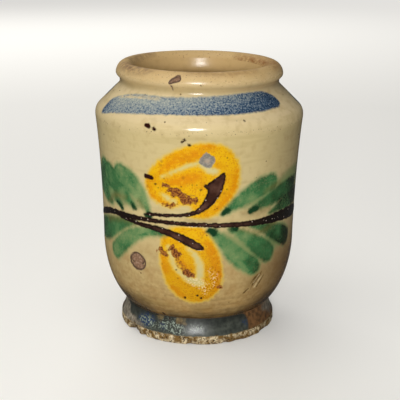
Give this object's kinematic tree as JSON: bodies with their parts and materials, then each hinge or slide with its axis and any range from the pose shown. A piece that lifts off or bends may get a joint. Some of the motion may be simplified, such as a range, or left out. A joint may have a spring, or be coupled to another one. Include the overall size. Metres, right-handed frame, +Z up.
{
  "type": "ceramic vase",
  "caption": "Tin-glazed earthenware jar with a rolled rim, sloping shoulder, tall wall and flared foot ring, painted with fruit and leaves, for holding flowers or dry goods.",
  "frame": {"origin": "centre of the foot ring, on the surface that the vase stands on", "axes": "+Z up the vase's axis, out of its mouth; -Y out of the painted front that the picture shows; +X to the right of that front"},
  "size_m": [0.1154, 0.1154, 0.15],
  "materials": {
    "earthenware": "matte",
    "slip": "matte",
    "painted_tin_glaze": "gloss",
    "plain_tin_glaze": "gloss"
  },
  "bodies": {
    "root": {"foot_ring": "earthenware", "foot_slip": "slip", "thrown_body": "earthenware", "shoulder_slip": "slip", "shoulder_collar": "earthenware", "rim_slip": "slip", "rolled_rim": "earthenware", "outer_glaze": "painted_tin_glaze", "inner_glaze": "plain_tin_glaze"}
  },
  "joints": []
}
